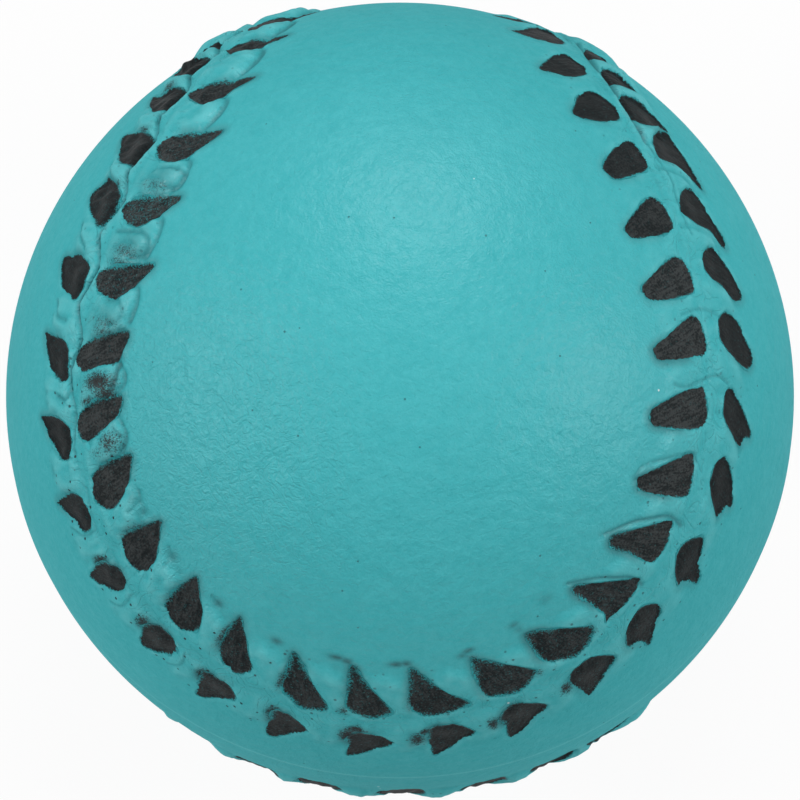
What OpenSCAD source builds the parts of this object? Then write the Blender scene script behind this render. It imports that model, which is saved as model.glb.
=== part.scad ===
// A moulded foam ball in the form of a stitched ball, squeezed and thrown by hand.
// The origin is the centre of the ball. The mould parts in the XY plane, so +Z is the
// middle of the upper half. The seam bends round +Z and -Z, which are in one panel of the
// cover, and round +X and -X, which are in the other. It comes closest to itself at +Y and -Y.

/* [Ball] */
// Diameter over the smooth panels
ball_d = 63.5; // [56:0.5:90]
// Thickness of the dense skin on the foam
skin_t = 1.5; // [0.8:0.1:4]

/* [Seam] */
// How far the seam swings out into the panels, as a share of the ring that it starts from
swing_share = 0.6; // [0.5:0.01:0.66]
// How far the seam reaches towards +Y and -Y, as a share of the same ring
reach_share = 1.12; // [1:0.01:1.3]
// Stitches on each side of the seam, all the way round
stitch_count = 66; // [50:2:70]
// Place of the first stitch after the turn of the seam at -Y, as a share of the pitch
first_share = 0.68; // [0:0.01:1]
// Lean of the stitches from square across the seam, in degrees
lean = 25; // [0:1:35]

/* [Painted stitches] */
// Length of a stitch in the inner row, round +Z and -Z
inner_l = 5.4; // [4.4:0.1:6.4]
// Width of a stitch in the inner row
inner_w = 3.3; // [2:0.1:3.6]
// Distance from the seam to the round ends of the inner row
inner_gap = 0.6; // [0.3:0.05:1.5]
// Length of a stitch in the outer row, round +X and -X
outer_l = 4.8; // [4.4:0.1:6.4]
// Width of a stitch in the outer row
outer_w = 3.3; // [2:0.1:3.6]
// Distance from the seam to the round ends of the outer row
outer_gap = 0.8; // [0.3:0.05:1.5]
// Height of a painted stitch above the skin
stitch_h = 0.4; // [0.2:0.05:0.8]
// Height of the edge of a painted stitch
stitch_edge = 0.1; // [0.05:0.01:0.15]

/* [Moulded lobes] */
// Length of the raised lobe between two stitches
lobe_l = 4.4; // [3:0.1:5]
// What the widths of a stitch and a lobe leave of the room from one stitch to the next
lobe_gap = 0.1; // [0.05:0.05:0.5]
// Height of a lobe above the skin
lobe_h = 0.5; // [0.2:0.05:0.8]
// Height of the edge of a lobe
lobe_edge = 0.15; // [0.05:0.01:0.15]

/* [Hidden] */

ball_r = ball_d / 2;
core_r = ball_r - skin_t;
UPPER = 1;
LOWER = -1;
INNER = 1;
OUTER = -1;
// Place of a lobe between two stitches, as a share of the pitch
lobe_share = 0.55;
ball_sides = 240;
dome_sides = 120;
arc_sides = 8;

// The path of the seam on a ball of radius 1. The turn runs once round in 360 degrees,
// from the bend at -Y, over the upper half to the crossing at +Y, and back under the lower half.
function unit(v) = v / norm(v);
function seam_point(turn) = unit([
    sin(turn) + swing_share * sin(3 * turn),
    -reach_share * cos(2 * turn),
    cos(turn) - swing_share * cos(3 * turn)]);
function seam_run(turn) = unit(seam_point(turn + seam_step / 2) - seam_point(turn - seam_step / 2));

// Each row pairs the length of seam so far, on a ball of radius 1, with the turn.
seam_step = 0.5;
seam_table = [
    for (turn = 0, run = 0;
         turn <= 360;
         run = run + norm(seam_point(turn + seam_step) - seam_point(turn)), turn = turn + seam_step)
    [run, turn]];
seam_l = seam_table[len(seam_table) - 1][0];
pitch = seam_l * ball_r / stitch_count;
function turn_at(number) = lookup(seam_l * number / stitch_count, seam_table);
stitch_turns = [for (i = [0 : stitch_count - 1]) turn_at(i + first_share)];
lobe_turns = [for (i = [0 : stitch_count - 1]) turn_at((i + first_share + lobe_share) % stitch_count)];
function on_half(turns, half) = [for (turn = turns) if (seam_point(turn)[2] * half > 0) turn];

// A stitch and the lobe beside it share the pitch, so a wider stitch leaves a slimmer lobe.
function lobe_w(stitch_w) = pitch * cos(lean) - stitch_w - lobe_gap;
inner_offset = inner_gap + inner_l / 2 * cos(lean);
outer_offset = outer_gap + outer_l / 2 * cos(lean);

// Direction from the centre of the ball to the middle of a stitch beside the seam
function row_point(turn, row, offset) =
    let (angle = offset / ball_r * 180 / PI,
         side = row * unit(cross(seam_point(turn), seam_run(turn))))
    seam_point(turn) * cos(angle) + side * sin(angle);

// Frame of a stitch: +X from its round end by the seam to its point, +Z out of the ball
function stitch_frame(turn, row, offset) =
    let (out = row_point(turn, row, offset),
         away = unit(out - seam_point(turn) * (out * seam_point(turn))),
         across = unit(away - out * (away * out)),
         along = unit(cross(across, out)) * row,
         x = unit(across * cos(lean) - along * sin(lean)),
         y = cross(out, x))
    [[x[0], y[0], out[0], 0],
     [x[1], y[1], out[1], 0],
     [x[2], y[2], out[2], 0],
     [0, 0, 0, 1]];

// Outline of a drop, round at one end and pointed at the other
module drop_outline(l, w) {
    r = w / 2;
    reach = l - r;
    tangent = acos(r / reach);
    arc_step = (360 - 2 * tangent) / arc_sides;
    translate([r - l / 2, 0])
        polygon(concat([[reach, 0]],
                       [for (i = [0 : arc_sides])
                           let (turn = tangent + i * arc_step)
                           [r * cos(turn), r * sin(turn)]]));
}

// A domed drop that stands on the ball, with an edge of its own height all round
module drop(l, w, h, edge) {
    half_l = l / 2;
    sag = ball_r - sqrt(ball_r * ball_r - half_l * half_l);
    rise = h - edge + sag;
    dome_r = (half_l * half_l + rise * rise) / (2 * rise);
    intersection() {
        translate([0, 0, core_r + skin_t / 2])
            linear_extrude(skin_t / 2 + 2 * h)
                drop_outline(l, w);
        translate([0, 0, ball_r + h - dome_r])
            sphere(dome_r, $fn = dome_sides);
    }
}

module half_space(half) {
    reach = 2 * ball_d;
    translate([-reach / 2, -reach / 2, half == UPPER ? 0 : -reach])
        cube(reach);
}

module ball(r) {
    sphere(r, $fn = ball_sides);
}

// The raised lobes lie between the stitches, with their round ends away from the seam.
module lobes(half, row, offset, stitch_w) {
    for (turn = on_half(lobe_turns, half))
        multmatrix(stitch_frame(turn, row, offset))
            mirror([1, 0, 0])
                drop(lobe_l, lobe_w(stitch_w), lobe_h, lobe_edge);
}

module skin(half) {
    color([0.22, 0.62, 0.65])
        difference() {
            union() {
                intersection() {
                    ball(ball_r);
                    half_space(half);
                }
                lobes(half, INNER, inner_offset, inner_w);
                lobes(half, OUTER, outer_offset, outer_w);
            }
            ball(core_r);
        }
}

module stitches(half, row, offset, l, w) {
    color([0.13, 0.13, 0.14])
        difference() {
            for (turn = on_half(stitch_turns, half))
                multmatrix(stitch_frame(turn, row, offset))
                    drop(l, w, stitch_h, stitch_edge);
            ball(ball_r);
        }
}

module foam_core() {
    color([0.35, 0.7, 0.72])
        ball(core_r);
}

module upper_skin() {
    skin(UPPER);
}

module lower_skin() {
    skin(LOWER);
}

module upper_inner_stitches() {
    stitches(UPPER, INNER, inner_offset, inner_l, inner_w);
}

module upper_outer_stitches() {
    stitches(UPPER, OUTER, outer_offset, outer_l, outer_w);
}

module lower_inner_stitches() {
    stitches(LOWER, INNER, inner_offset, inner_l, inner_w);
}

module lower_outer_stitches() {
    stitches(LOWER, OUTER, outer_offset, outer_l, outer_w);
}

foam_core();
upper_skin();
lower_skin();
upper_inner_stitches();
upper_outer_stitches();
lower_inner_stitches();
lower_outer_stitches();
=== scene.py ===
import math

import bmesh
import bpy
import numpy as np
from mathutils import Matrix, Vector
from mathutils.geometry import delaunay_2d_cdt


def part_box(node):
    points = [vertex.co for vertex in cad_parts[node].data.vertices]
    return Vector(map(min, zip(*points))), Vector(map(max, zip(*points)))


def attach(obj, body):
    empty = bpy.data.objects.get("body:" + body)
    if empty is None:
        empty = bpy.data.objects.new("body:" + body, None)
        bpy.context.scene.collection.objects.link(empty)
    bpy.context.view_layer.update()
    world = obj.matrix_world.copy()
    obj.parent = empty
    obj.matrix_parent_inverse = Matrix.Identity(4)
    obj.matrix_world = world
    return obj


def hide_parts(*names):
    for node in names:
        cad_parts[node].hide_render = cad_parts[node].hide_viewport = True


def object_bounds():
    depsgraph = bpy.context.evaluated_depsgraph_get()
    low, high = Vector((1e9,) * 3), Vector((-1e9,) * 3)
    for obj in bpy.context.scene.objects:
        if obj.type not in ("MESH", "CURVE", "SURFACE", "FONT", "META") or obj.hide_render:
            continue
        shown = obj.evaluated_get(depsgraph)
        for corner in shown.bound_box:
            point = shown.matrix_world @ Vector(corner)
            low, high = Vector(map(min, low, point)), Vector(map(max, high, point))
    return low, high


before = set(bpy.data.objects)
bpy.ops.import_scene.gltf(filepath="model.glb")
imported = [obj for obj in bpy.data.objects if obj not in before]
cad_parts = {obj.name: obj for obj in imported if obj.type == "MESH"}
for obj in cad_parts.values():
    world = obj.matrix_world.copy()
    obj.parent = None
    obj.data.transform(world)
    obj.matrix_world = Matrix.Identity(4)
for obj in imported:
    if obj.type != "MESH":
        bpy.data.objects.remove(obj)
cad_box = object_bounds()

MM = 0.001
UPPER = 1
LOWER = -1
INNER = 1
OUTER = -1


# Foam core
# The middle of the ball is open cell polyurethane foam that rises and sets in the mould.
# It fills the skin, and it only shows where the ball is cut open.

CORE_TEAL = (0.11, 0.43, 0.45, 1)
CORE_CELL_SHADE = (0.03, 0.2, 0.22, 1)
CORE_CELL_SIZE = 0.4 * MM
CORE_CELL_DEPTH = 0.15 * MM
CORE_CELL_WALL = (0.15, 0.6)
CORE_ROUGHNESS = 0.85


class Socket:
    """An output of a node, on which Python's operators add Math nodes."""

    def __init__(self, finish, output):
        self.finish = finish
        self.output = output

    def __add__(self, other):
        return self.finish.maths("ADD", self, other)

    def __radd__(self, other):
        return self.finish.maths("ADD", other, self)

    def __sub__(self, other):
        return self.finish.maths("SUBTRACT", self, other)

    def __rsub__(self, other):
        return self.finish.maths("SUBTRACT", other, self)

    def __mul__(self, other):
        return self.finish.maths("MULTIPLY", self, other)

    def __gt__(self, other):
        return self.finish.maths("GREATER_THAN", self, other)


class Finish:
    """The nodes of a new material, or of the owner that is given, in the making."""

    def __init__(self, name, owner=None):
        self.material = owner or bpy.data.materials.new(name)
        self.material.use_nodes = True
        self.tree = self.material.node_tree
        self.tree.nodes.clear()

    def add(self, kind, settings, inputs, output=0):
        """Adds a node with its settings and its sockets' values or links, and gives one output."""
        node = self.tree.nodes.new("ShaderNode" + kind)
        for name, value in settings.items():
            setattr(node, name, value)
        for name, value in inputs.items():
            if isinstance(value, Socket):
                self.tree.links.new(value.output, node.inputs[name])
            else:
                node.inputs[name].default_value = value
        return Socket(self, node.outputs[output] if node.outputs else None)

    def maths(self, operation, *values):
        return self.add("Math", {"operation": operation}, dict(enumerate(values)))

    def place(self):
        return self.add("TexCoord", {}, {}, "Object")

    def value_of(self, attribute):
        return self.add("Attribute", {"attribute_name": attribute}, {}, "Fac")

    def noise(self, size, detail=2.0, distortion=0.0, vector=None):
        """Noise around a half, whose patches are about this wide."""
        inputs = {"Vector": vector or self.place(), "Scale": 1 / size, "Detail": detail,
                  "Distortion": distortion}
        return self.add("TexNoise", {}, inputs)

    def patches(self, size, detail=2.0, distortion=0.0):
        """Patches about this wide, from 0 to 1."""
        return self.ease(self.noise(size, detail, distortion), 0.3, 0.7)

    def cells(self, size, output="Distance", vector=None):
        """Scattered spots: the distance from the nearest one, or a colour for each."""
        inputs = {"Vector": vector or self.place(), "Scale": 1 / size}
        return self.add("TexVoronoi", {}, inputs, output)

    def chance(self, size, vector=None):
        """A number from 0 to 1 for each scattered spot."""
        return self.add("SeparateColor", {}, {"Color": self.cells(size, "Color", vector)})

    def ease(self, value, low, high):
        """A smooth step from 0 at low to 1 at high."""
        inputs = {"Value": value, "From Min": low, "From Max": high}
        return self.add("MapRange", {"interpolation_type": "SMOOTHSTEP"}, inputs)

    def mix(self, share, first, second):
        """A colour between two others."""
        inputs = {"Factor": share, 6: first, 7: second}
        return self.add("Mix", {"data_type": "RGBA"}, inputs, 2)

    def bump(self, height, depth):
        return self.add("Bump", {}, {"Height": height, "Distance": depth}, "Normal")

    def surface(self, **inputs):
        """Ends the material in a Principled shader with these sockets."""
        named = {name.replace("_", " "): value for name, value in inputs.items()}
        shader = self.add("BsdfPrincipled", {}, named)
        self.add("OutputMaterial", {}, {"Surface": shader})
        return self.material


core_finish = Finish("open_cell_foam")
core_cells = core_finish.ease(core_finish.cells(CORE_CELL_SIZE), *CORE_CELL_WALL)
core_material = core_finish.surface(
    Base_Color=core_finish.mix(core_cells, CORE_CELL_SHADE, CORE_TEAL),
    Roughness=CORE_ROUGHNESS,
    Normal=core_finish.bump(core_cells, CORE_CELL_DEPTH))
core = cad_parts["foam_core"]
core.data.materials.clear()
core.data.materials.append(core_material)


# Skin
# The dense teal skin that the foam forms against the two halves of the mould, one piece for each.
# The mould gives it the seam, the raised lobes with a hollow for each stitch between them, and
# the faint line where its halves part.

# Height of the fine ridge that the mould leaves where its halves part, and how pale it is worn
PARTING_HEIGHT = 0.04 * MM
PARTING_WIDTH = 0.16 * MM
PARTING_WEAR = 1.5
CORE_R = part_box("foam_core")[1].z
BALL_R = min(*cad_box[1], *-cad_box[0]) - PARTING_HEIGHT

# The path of the seam, as in the solid model, with degrees along it from the bend at -Y
SWING_SHARE = 0.6
REACH_SHARE = 1.12
STITCHES = 66
FIRST_SHARE = 0.68
TURN_STEP = 0.25


def unit(vectors):
    return vectors / np.linalg.norm(vectors, axis=-1, keepdims=True)


def seam_point(turns):
    t = np.radians(turns)
    x = np.sin(t) + SWING_SHARE * np.sin(3 * t)
    y = -REACH_SHARE * np.cos(2 * t)
    z = np.cos(t) - SWING_SHARE * np.cos(3 * t)
    return unit(np.stack([x, y, z], axis=-1))


seam_turns = np.arange(-90, 270 + TURN_STEP, TURN_STEP)
seam_steps = np.linalg.norm(np.diff(seam_point(seam_turns), axis=0), axis=1)
seam_along = np.degrees(np.concatenate([[0], np.cumsum(seam_steps)]))
seam_along -= np.interp(0, seam_turns, seam_along)
SEAM_START = seam_along[0]
SEAM_LENGTH = seam_along[-1] - SEAM_START
PITCH = SEAM_LENGTH / STITCHES
FIRST_STITCH = -16
# The nearest place on the seam is looked for in so many blocks, and then mended so many times.
NEAREST_BLOCKS = 64
NEAREST_ROUNDS = 2


def seam_frame(along):
    """The seam's point, its direction and the inner side of it, given degrees along the seam."""
    wrapped = (along - SEAM_START) % SEAM_LENGTH + SEAM_START
    turns = np.interp(wrapped, seam_along, seam_turns)
    point = seam_point(turns)
    ahead = unit(seam_point(turns + TURN_STEP) - seam_point(turns - TURN_STEP))
    return point, ahead, np.cross(point, ahead)


def on_ball(along, off):
    """The direction from the centre to a place beside the seam, given in degrees."""
    point, _, side = seam_frame(along)
    turn = np.radians(off)[..., None]
    return point * np.cos(turn) + side * np.sin(turn)


def beside_seam(directions):
    """Degrees along the seam and off it, the inner side being positive, of each direction."""
    path = seam_point(seam_turns).astype(np.float32)
    nearest = [np.argmax(block @ path.T, axis=1)
               for block in np.array_split(directions.astype(np.float32), NEAREST_BLOCKS)]
    along = seam_along[np.concatenate(nearest)]
    for _ in range(NEAREST_ROUNDS):
        point, ahead, side = seam_frame(along)
        along = along + np.degrees(np.arcsin((directions * ahead).sum(-1)))
    point, ahead, side = seam_frame(along)
    off = np.degrees(np.arcsin(np.clip((directions * side).sum(-1), -1, 1)))
    return along, off


# Outlines of the stitches that were shaped and painted by hand, from stitch -12 on. A point is
# degrees along the seam from the stitch's place in the pitch, and degrees off the seam.
FIRST_SHAPED = -12
INNER_SHAPES = [
    [(-2.7, 10.8), (-1.1, 9.3), (1.3, 5.3), (1, 3.2), (-0.6, 2), (-2, 3), (-2.3, 5), (-2.5, 8)],
    [(-2.3, 11.2), (0, 9), (2.8, 5.9), (2.2, 3.5), (0.5, 1.3), (-1, 2), (-1.4, 4), (-1.8, 7)],
    [(-2.4, 11.7), (2, 7.5), (2.8, 5.5), (2.2, 3), (0, 1.5), (-1.4, 2.8), (-2.5, 9)],
    [(-2.4, 10.6), (2, 6.3), (2.5, 4.2), (1.7, 1.7), (0, 0.6), (-1.4, 1.8), (-2.1, 5.5)],
    [(-2.8, 10.6), (2.2, 6.3), (2.7, 4.5), (1.9, 1.5), (0.2, 0.4), (-1.1, 1.3), (-1.8, 4.5)],
    [(-3.1, 9), (1.2, 7.8), (2.3, 4), (3, 1.2), (2, -0.3), (0.7, -0.6), (-0.8, 1), (-2.2, 4.5)],
    [(-3.9, 8.9), (-1, 8), (1.5, 4.5), (2.5, 2), (1.7, 0.5), (0, -0.1), (-1.8, 1.3), (-3.1, 4)],
    [(-4.8, 9.8), (-1, 8.2), (1.8, 5.5), (2.4, 3), (0.7, 1), (-2.3, 1.2), (-3.8, 3.5), (-4.7, 6.8)],
    [(-3.4, 11), (-1.8, 10.2), (0.7, 8.2), (2.5, 5.5), (2.2, 3.2), (0.7, 2.1), (-2.3, 2.4), (-3.7, 4.5)],
    [(-2.3, 10.8), (0.7, 8.8), (3, 6.5), (3.8, 4.2), (2.8, 2.2), (0.7, 1.7), (-1.6, 2.5), (-2.6, 5)],
    [(-2.4, 10.7), (-0.3, 8.8), (1.8, 6), (3.3, 3.5), (2.6, 1.8), (1.1, 1), (-1.3, 2.3), (-2.6, 5)],
    [(-2.2, 9), (-1.2, 9.4), (0.8, 7.2), (5, 1.5), (4, 0.1), (1.7, -0.4), (-0.1, 0.8), (-1.8, 3)],
    [(-2.8, 9.6), (-1.6, 9.7), (0.2, 7), (3.8, 2.2), (2.7, 0.7), (0.2, 0.1), (-2.2, 1.8), (-2.6, 5)],
    [(-3.4, 9), (-2.5, 9.9), (1.2, 5.5), (4.6, 1.8), (3, 0.7), (-0.3, 0.2), (-2.6, 1.3), (-3.7, 4)],
    [(-3.5, 9.4), (-2.3, 9.3), (0, 7.8), (4.8, 3.5), (4, 1.6), (1.7, 0.5), (-1.3, 1.2), (-3.2, 3.2)],
    [(-4.1, 9.4), (-3, 9.9), (-0.3, 8.5), (4.8, 4.3), (4, 2.2), (0.7, 1.1), (-2.3, 2.8), (-3.8, 5.5)],
    [(-3.5, 10.8), (-2.6, 11.5), (-1, 10.5), (3.2, 5.5), (4.4, 2.7), (-2.8, 2.4), (-2.4, 4.2), (-2.9, 8)],
    [(-3.6, 10.6), (-2.6, 11.6), (-1.2, 11.2), (2.7, 5.8), (4.1, 3), (2.2, 2.3), (-2.2, 2.5), (-3, 7)],
    [(-3, 10.4), (-2, 11.2), (-0.6, 10.8), (2.7, 5.5), (3.8, 3), (3.2, 2), (-0.9, 1.6), (-2.3, 2.2),
     (-3, 7)],
    [(-2.7, 10.4), (-1.3, 11), (0, 10.4), (2.3, 5.5), (3, 2.2), (2.2, 1), (-2.3, 0.9), (-2.9, 7.5)],
    [(-3.2, 8.8), (-2.3, 9.9), (-1, 9.6), (2.3, 3.4), (2.5, 1.3), (1.2, 0.4), (-2.4, 0.3), (-3.1, 4)],
    [(-4.8, 8.4), (-3.8, 9.9), (-2.3, 9.5), (0.6, 4), (0.8, 1.6), (-0.8, 0.6), (-3.9, 0.5), (-4.7, 4)],
    [(-6.1, 8.4), (-5.4, 9.6), (-4, 9.4), (-0.4, 3.6), (-0.8, 1.7), (-2.3, 0.8), (-5, 0.8), (-5.9, 4)],
    [(-7.5, 7.4), (-6.7, 8.9), (-5.3, 9), (-2.6, 5.6), (-1, 2.3), (-2.2, 0.9), (-4.5, 0.4), (-6.2, 2)],
    [(-7.2, 9.6), (-5.3, 8.5), (-3.2, 6.7), (-1.9, 4), (-3.2, 1.6), (-5.6, 0.7), (-7.4, 2.2), (-8.1, 6)],
    [(-8.6, 10.8), (-6.3, 8.8), (-2.7, 4.5), (-4.8, 2), (-7.4, 2.5), (-9.3, 5.8), (-9, 8.5)],
    [(-8, 10.7), (-5.2, 7.4), (-1.8, 4.2), (-2.4, 2.2), (-6.8, 1.9), (-9.4, 4.5), (-9.3, 7.5)]]
OUTER_SHAPES = [
    [(-4, 9.6), (-3, 6.8), (-1.6, 2.4), (0.4, 0.3), (2.4, 0), (3.4, 1.2), (3.2, 3.8), (0.6, 7)],
    [(-5.4, 10), (-3.8, 7.3), (-3.1, 3.4), (-1.4, 0.4), (0.5, 0), (2.2, 1), (2, 4.6), (-0.8, 7.8)],
    [(-4.9, 10.3), (-4.2, 6.5), (-2.3, 1.5), (-0.8, 0.2), (2.7, 1.4), (2.6, 4), (1.4, 6.5), (-0.8, 8.5)],
    [(-3.3, 10.1), (-4.8, 8), (-5.1, 5.8), (-1.8, 1), (2.8, 2.6), (1.7, 5.5), (0, 8.2), (-2, 9.8)],
    [(-2.4, 11), (-3, 8), (-3, 5.5), (-1.8, 2.5), (-0.6, 1.7), (3.3, 3.1), (2.8, 5.5), (1.7, 8.5)],
    [(-1.9, 10.8), (-1.5, 8), (-1.3, 5), (0.2, 2.7), (4.3, 2.5), (4.1, 4.6), (2.9, 7.5), (0.7, 9.3)],
    [(-1.1, 10.3), (-0.8, 4.5), (0.4, 2.3), (2.5, 1.8), (4.5, 2.9), (4.6, 4.7), (2.7, 7.5), (0.2, 9.5)],
    [(-0.4, 9.9), (-0.9, 6.5), (-1, 4), (0.2, 2), (2.2, 1.4), (4, 2.6), (4.1, 4.7), (2.2, 7), (0.5, 9)],
    [(-0.7, 9.5), (-1.3, 6.5), (-1.6, 3.5), (0.3, 0.7), (2.4, 1.1), (3.1, 3.5), (1.7, 6.5), (0.2, 8.8)],
    [(-0.2, 9.3), (-1.2, 6.8), (-1.8, 4), (-0.9, 1.8), (1, 1), (3, 2), (3.4, 3.8), (2.2, 6.5)],
    [(-1.1, 10.4), (-1.8, 7.5), (-2, 5.5), (-2.5, 3), (-0.8, 2.2), (1.2, 2), (3.1, 4.3), (2.2, 6.3)],
    [(-1.3, 11.5), (-2.1, 9), (-1.8, 6), (-2, 3.6), (-0.5, 2.6), (1.7, 4.2), (3, 6.2), (1.2, 8.6)],
    [(-1.8, 11.3), (-1.7, 8), (-2, 5.2), (0.2, 3.6), (2.5, 4.7), (4, 6.5), (1.7, 8.6), (-0.5, 10.8)],
    [(-1, 11), (-1.6, 8), (-1.6, 5), (-1.2, 2.8), (1, 2), (3, 3.3), (4.3, 5.8), (2.2, 7.8)],
    [(-1.5, 11), (-2, 8.8), (-1.8, 6.5), (-2.4, 4), (-0.1, 1.5), (2.2, 3), (4, 5.4), (2, 7.7)],
    [(-1, 9.6), (-1.4, 7), (-2, 3.6), (-1.4, 1.6), (0, 0.9), (2.2, 1), (4.5, 4.4), (2.2, 6.8)],
    [(-1.5, 9.3), (-1.9, 7), (-3.5, 4.8), (-2.2, 2), (-0.3, 0.8), (1.8, 0.9), (3.2, 4), (0.7, 7)],
    [(-2.2, 9.6), (-2.5, 7), (-3.5, 5), (-2.3, 2.6), (0.2, 0.8), (2.2, 1.7), (3.2, 4.8), (0.7, 7)],
    [(-1.9, 9.8), (-2.4, 8), (-3.8, 6.2), (-0.8, 2.8), (1.5, 2), (3.4, 3.1), (3.8, 4.8), (1.7, 7.5)],
    [(-3.1, 11.3), (-3.6, 9.3), (-4.6, 8), (-1.8, 3.8), (0.5, 2.9), (2.3, 3.5), (2.8, 5), (1.2, 7.2)],
    [(-3.4, 11.8), (-4.7, 9.5), (-2.1, 4.3), (0, 3), (2, 3.5), (3, 5.8), (1.7, 8.5), (-0.8, 10.2)],
    [(-4.4, 11.6), (-5.5, 8.9), (-3.6, 6.8), (-2.3, 4), (-0.5, 2.8), (1.3, 3.5), (2.2, 5.8), (1.6, 7.8)],
    [(-6.6, 11), (-7.5, 9.9), (-5, 7.8), (-4.2, 4.5), (-2.4, 2.1), (0.2, 3.2), (1.8, 6), (0.9, 8.3)],
    [(-7.5, 10.6), (-4.8, 7.8), (-4, 5.5), (-3.7, 2.7), (-2, 2.2), (0.7, 3.5), (2.8, 6.4), (1.8, 9)],
    [(-5.2, 0.6), (-2.9, 0.5), (-1.2, 1.8), (-0.7, 4.2), (-1.8, 7), (-6, 9.2), (-7.1, 4.4), (-6.7, 1.6)],
    [(-8.6, 0.7), (-6.4, 0.5), (-4.6, 1.3), (-3.6, 3.4), (-4.4, 6.2), (-8, 8.8), (-8.9, 4)],
    [(-11.4, 0.7), (-9.6, 0.4), (-7.4, 1.2), (-6.4, 3.4), (-7.2, 6.2), (-10.8, 8), (-11.6, 3.4)]]
# The other stitches have a plain outline with a seeded unevenness in degrees, and drift
# along the seam and off it by so many degrees at these stitches.
PLAIN_SHAPES = {INNER: [(-2.3, 10.8), (0.9, 8), (3, 4.8), (1.9, 1.9), (-1.9, 2.3), (-3, 6)],
                OUTER: [(0.2, 1), (3.3, 4.4), (1.9, 7.4), (-1.2, 10), (-3.2, 5)]}
UNEVEN = 0.25
DRIFT_NUMBERS = {INNER: (-16, -13, 15, 22, 34, 49),
                 OUTER: (-16, -13, 15, 22, 29, 30, 31, 32, 33, 34, 36, 49)}
ALONG_DRIFTS = {INNER: (-0.7, -0.7, -8.5, -3, -0.5, -0.7),
                OUTER: (0, 4, -7, 0, 2.5, 3.5, 1, 0.8, 1.9, 3, 1.5, -1)}
OFF_DRIFTS = {INNER: (0, 0, 0, 0, 0, 0), OUTER: (0, 0, 0, 2, 6, 5, 2, 0, 0, 0, 0, 0)}
uneven = np.random.default_rng(3)
# Points on each stretch of an outline
STRETCH = 8


def rounded(points, stretch, ends="wrap"):
    """A curve through these points, closed, or open where ends is edge."""
    run = np.pad(np.asarray(points, float), ((1, 2), (0, 0)), mode=ends)
    before, start, after, beyond = run[:-3], run[1:-2], run[2:-1], run[3:]
    share = np.arange(stretch)[:, None, None] / stretch
    slope_in = (after - before) / 2
    slope_out = (beyond - start) / 2
    curve = (start * (1 - 3 * share**2 + 2 * share**3) + after * (3 * share**2 - 2 * share**3)
             + slope_in * (share - 2 * share**2 + share**3) + slope_out * (share**3 - share**2))
    return curve.transpose(1, 0, 2).reshape(-1, 2)


def stitch_points(row, number):
    """The corners of a stitch's outline: degrees along the seam, and degrees off it in its row."""
    shapes = INNER_SHAPES if row == INNER else OUTER_SHAPES
    index = number - FIRST_SHAPED
    place = np.array([(number + FIRST_SHARE - 1) * PITCH, 0])
    if 0 <= index < len(shapes):
        return np.array(shapes[index]) + place
    plain = np.array(PLAIN_SHAPES[row])
    place[0] += np.interp(number, DRIFT_NUMBERS[row], ALONG_DRIFTS[row])
    place[1] += np.interp(number, DRIFT_NUMBERS[row], OFF_DRIFTS[row])
    return plain + uneven.normal(0, UNEVEN, plain.shape) + place


numbers = range(FIRST_STITCH, FIRST_STITCH + STITCHES)
corners = {(row, number): stitch_points(row, number) for row in (INNER, OUTER) for number in numbers}

# A map of the band along the seam: its columns go along the seam and its rows off it.
MAP_STEP = 0.125
MAP_REACH = 19
map_along = np.arange(SEAM_START, SEAM_START + SEAM_LENGTH, MAP_STEP)
map_off = np.arange(-MAP_REACH, MAP_REACH + MAP_STEP, MAP_STEP)


def smooth_step(low, high, value):
    share = np.clip((value - low) / (high - low), 0, 1)
    return share * share * (3 - 2 * share)


def blurred(layer, spread_off, spread_along=None):
    """The layer with soft edges, the spreads being in steps of the map."""
    for axis, spread in enumerate((spread_off, spread_along or spread_off)):
        reach = int(3 * spread) + 1
        weights = np.exp(-0.5 * (np.arange(-reach, reach + 1) / spread)**2)
        weights /= weights.sum()
        layer = sum(weight * np.roll(layer, shift, axis=axis)
                    for weight, shift in zip(weights, range(-reach, reach + 1)))
    return layer


def read(layer, along, off):
    """The layer's values at these places."""
    column = (along - SEAM_START) % SEAM_LENGTH / MAP_STEP
    line = np.clip((off + MAP_REACH) / MAP_STEP, 0, len(map_off) - 1.001)
    left = column.astype(int)
    low = line.astype(int)
    across = column - left
    up = line - low
    right = (left + 1) % len(map_along)
    left = left % len(map_along)
    below = layer[low, left] * (1 - across) + layer[low, right] * across
    above = layer[low + 1, left] * (1 - across) + layer[low + 1, right] * across
    return below * (1 - up) + above * up


# Height of the lobes, in millimetres, at these stitches: strong at the left, and then fading
HEIGHT_NUMBERS = (-16, -14, -12, -5, 0, 4, 7, 10, 12, 14, 18, 30, 34, 49)
HEIGHTS = {INNER: (0.5, 0.8, 0.6, 0.55, 0.42, 0.32, 0.24, 0.16, 0.12, 0.1, 0.4, 0.5, 0.5, 0.5),
           OUTER: (0.55, 0.9, 0.65, 0.6, 0.46, 0.42, 0.4, 0.44, 0.5, 0.62, 0.5, 0.65, 0.65, 0.5)}
# Where the crest of a lobe is, as a share of the room between two stitches, and how high the
# valley and the face of a stitch beside it are, as shares of the lobe's height
CREST_SHARE = 0.62
VALLEY_SHARE = 0.35
VALLEY_IN = 0.5
FACE_SHARE = 0.6
# The groove round the far end of a lobe, as a share of its height
GROOVE_NUMBERS = (-16, -10, -6, -3)
GROOVES = (0.3, 0.5, 0.5, 0)
GROOVE_OUT = 0.3
GROOVE_WIDTH = 0.3
GROOVE_ASIDE = (1.05, 1.3)
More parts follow.
